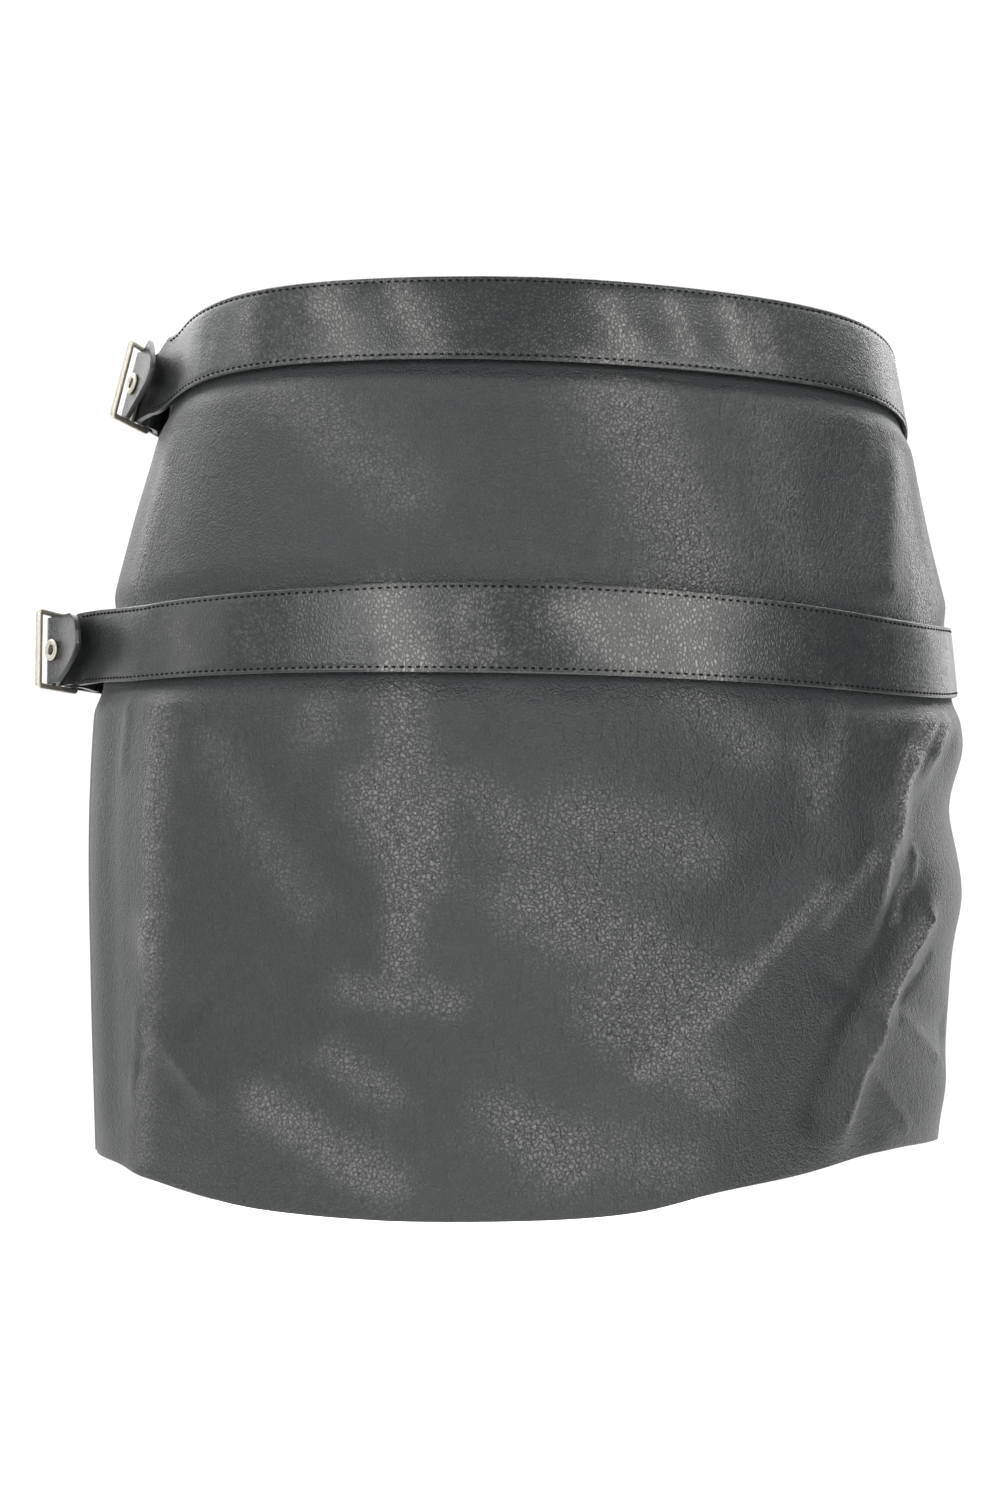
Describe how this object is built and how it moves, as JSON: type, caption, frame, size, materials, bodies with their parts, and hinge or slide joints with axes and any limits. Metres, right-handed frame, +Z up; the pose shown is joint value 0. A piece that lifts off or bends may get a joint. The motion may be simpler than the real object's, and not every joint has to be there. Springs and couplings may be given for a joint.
{
  "type": "leather mini skirt",
  "caption": "Worn, hollow leather mini skirt with a buckled belt round its waist and another round its hips.",
  "frame": {"origin": "middle of the waist opening, level with its top edge", "axes": "+Z up along the body, -Y out of the front of the skirt, -X towards the buckles"},
  "size_m": [0.3842, 0.2538, 0.3324],
  "materials": {
    "panel_leather": "dark slate pebbled leather, soft sheen",
    "belt_leather": "smoother dark leather strap, stitched along both edges",
    "nickel": "warm polished nickel"
  },
  "bodies": {
    "root": {"front_panel": "panel_leather", "back_panel": "panel_leather", "waist_belt_front": "belt_leather", "waist_belt_back": "belt_leather", "hip_belt_front": "belt_leather", "hip_belt_back": "belt_leather", "waist_buckle": "nickel", "hip_buckle": "nickel", "waist_eyelet": "nickel", "hip_eyelet": "nickel"}
  },
  "joints": []
}
